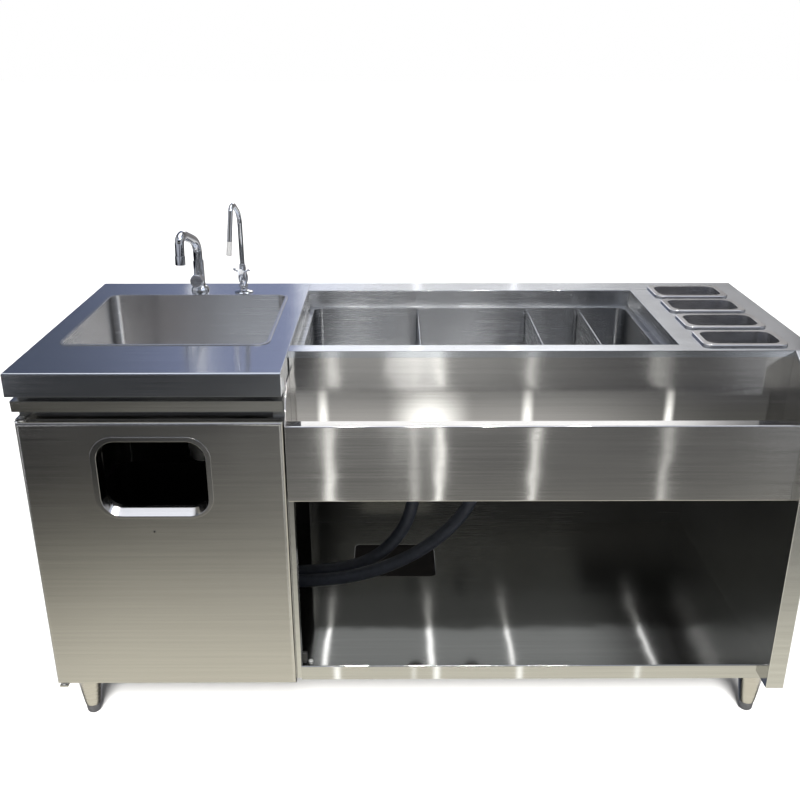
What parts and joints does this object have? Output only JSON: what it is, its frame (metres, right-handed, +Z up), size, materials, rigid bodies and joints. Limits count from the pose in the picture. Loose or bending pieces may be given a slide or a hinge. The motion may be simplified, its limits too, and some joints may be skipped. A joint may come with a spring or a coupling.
{
  "type": "portable cocktail station",
  "caption": "Free-standing stainless bar station with a tapped sink over a waste cabinet, a divided ice well, a front speed rail, garnish pans and an open bay.",
  "frame": {"origin": "centre of the footprint, on the floor", "axes": "+X to the operator's right along the length, +Y away from the operator, +Z up"},
  "size_m": [1.6, 0.7, 1.074],
  "materials": {
    "stainless_sheet": "brushed",
    "chrome_plate": "polished",
    "pan_steel": "satin",
    "black_polymer": "matte",
    "grey_polymer": "matte",
    "white_nylon": "matte",
    "insulating_foam": "matte",
    "hose_rubber": "smooth",
    "white_pipe": "satin",
    "porcelain": "gloss",
    "zinc_steel": "plated"
  },
  "bodies": {
    "carcass": {"back_panel": "stainless_sheet", "bar_tap_body": "chrome_plate", "bar_top": "stainless_sheet", "base_deck": "stainless_sheet", "deck_stiffeners": "stainless_sheet", "divider_guides": "stainless_sheet", "door_pivot_brackets": "stainless_sheet", "door_pivot_bushes": "white_nylon", "drain_hose_1": "hose_rubber", "drain_hose_2": "hose_rubber", "drain_manifold": "white_pipe", "false_bottom": "stainless_sheet", "garnish_housing": "stainless_sheet", "gooseneck_body": "chrome_plate", "grip_rail": "stainless_sheet", "hose_clamps": "zinc_steel", "ice_well_insulation": "insulating_foam", "ice_well_jacket": "stainless_sheet", "ice_well_liner": "stainless_sheet", "left_side_panel": "stainless_sheet", "leg_sockets": "stainless_sheet", "partition_panel": "stainless_sheet", "rail_end_plate": "stainless_sheet", "right_side_panel": "stainless_sheet", "sink_bowl": "stainless_sheet", "sink_trap": "white_pipe", "sink_waste_body": "chrome_plate", "sink_worktop": "stainless_sheet", "socket_screws": "zinc_steel", "speed_rail": "stainless_sheet", "tap_nuts": "zinc_steel", "waste_bin": "black_polymer", "well_drains": "stainless_sheet"},
    "waste_door": {"waste_door_skin": "stainless_sheet", "waste_door_liner": "stainless_sheet", "waste_hole_trim": "stainless_sheet", "door_pivots": "stainless_sheet"},
    "strainer_basket": {"strainer_basket": "chrome_plate"},
    "bar_tap_knob": {"bar_tap_knob": "chrome_plate"},
    "bar_tap_spout": {"bar_tap_spout": "chrome_plate", "bar_tap_aerator": "chrome_plate"},
    "gooseneck_handle": {"gooseneck_handle": "chrome_plate", "gooseneck_button": "porcelain"},
    "gooseneck_spout": {"gooseneck_spout": "chrome_plate", "gooseneck_tip": "white_nylon"},
    "divider_1": {"divider_1": "stainless_sheet"},
    "divider_2": {"divider_2": "stainless_sheet"},
    "divider_3": {"divider_3": "stainless_sheet"},
    "garnish_pan_1": {"garnish_pan_1": "pan_steel"},
    "garnish_pan_2": {"garnish_pan_2": "pan_steel"},
    "garnish_pan_3": {"garnish_pan_3": "pan_steel"},
    "garnish_pan_4": {"garnish_pan_4": "pan_steel"},
    "foot_front_left": {"foot_front_left": "stainless_sheet", "foot_tip_front_left": "grey_polymer"},
    "foot_front_right": {"foot_front_right": "stainless_sheet", "foot_tip_front_right": "grey_polymer"},
    "foot_rear_left": {"foot_rear_left": "stainless_sheet", "foot_tip_rear_left": "grey_polymer"},
    "foot_rear_right": {"foot_rear_right": "stainless_sheet", "foot_tip_rear_right": "grey_polymer"}
  },
  "joints": [
    {"name": "door_hinge", "type": "hinge", "parent": "carcass", "child": "waste_door", "pos_m": [-0.785, -0.322, 0.43], "axis": [0, 0, -1], "range_deg": [0, 100]},
    {"name": "bar_tap_knob_turn", "type": "hinge", "parent": "carcass", "child": "bar_tap_knob", "pos_m": [-0.541, 0.278, 0.882], "axis": [0, -1, 0], "range_deg": [0, 180]},
    {"name": "bar_tap_spout_swivel", "type": "hinge", "parent": "carcass", "child": "bar_tap_spout", "pos_m": [-0.541, 0.278, 0.92], "axis": [0, 0, 1], "range_deg": [-60, 60]},
    {"name": "gooseneck_handle_turn", "type": "hinge", "parent": "carcass", "child": "gooseneck_handle", "pos_m": [-0.43, 0.259, 0.881], "axis": [0, -0.766, 0.6428], "range_deg": [0, 90]},
    {"name": "gooseneck_spout_swivel", "type": "hinge", "parent": "carcass", "child": "gooseneck_spout", "pos_m": [-0.43, 0.259, 0.91], "axis": [0, 0, 1], "range_deg": [-60, 60]},
    {"name": "strainer_basket_lift", "type": "slide", "parent": "carcass", "child": "strainer_basket", "axis": [0, 0, 1], "range_m": [0, 0.28]},
    {"name": "divider_1_lift", "type": "slide", "parent": "carcass", "child": "divider_1", "axis": [0, 0, 1], "range_m": [0, 0.3]},
    {"name": "divider_2_lift", "type": "slide", "parent": "carcass", "child": "divider_2", "axis": [0, 0, 1], "range_m": [0, 0.3]},
    {"name": "divider_3_lift", "type": "slide", "parent": "carcass", "child": "divider_3", "axis": [0, 0, 1], "range_m": [0, 0.3]},
    {"name": "garnish_pan_1_lift", "type": "slide", "parent": "carcass", "child": "garnish_pan_1", "axis": [0, 0, 1], "range_m": [0, 0.15]},
    {"name": "garnish_pan_2_lift", "type": "slide", "parent": "carcass", "child": "garnish_pan_2", "axis": [0, 0, 1], "range_m": [0, 0.15]},
    {"name": "garnish_pan_3_lift", "type": "slide", "parent": "carcass", "child": "garnish_pan_3", "axis": [0, 0, 1], "range_m": [0, 0.15]},
    {"name": "garnish_pan_4_lift", "type": "slide", "parent": "carcass", "child": "garnish_pan_4", "axis": [0, 0, 1], "range_m": [0, 0.15]},
    {"name": "foot_front_left_turn", "type": "hinge", "parent": "carcass", "child": "foot_front_left", "pos_m": [-0.752, -0.262, 0.06], "axis": [0, 0, 1], "range_deg": [-180, 180]},
    {"name": "foot_front_right_turn", "type": "hinge", "parent": "carcass", "child": "foot_front_right", "pos_m": [0.752, -0.262, 0.06], "axis": [0, 0, 1], "range_deg": [-180, 180]},
    {"name": "foot_rear_left_turn", "type": "hinge", "parent": "carcass", "child": "foot_rear_left", "pos_m": [-0.752, 0.262, 0.06], "axis": [0, 0, 1], "range_deg": [-180, 180]},
    {"name": "foot_rear_right_turn", "type": "hinge", "parent": "carcass", "child": "foot_rear_right", "pos_m": [0.752, 0.262, 0.06], "axis": [0, 0, 1], "range_deg": [-180, 180]}
  ]
}
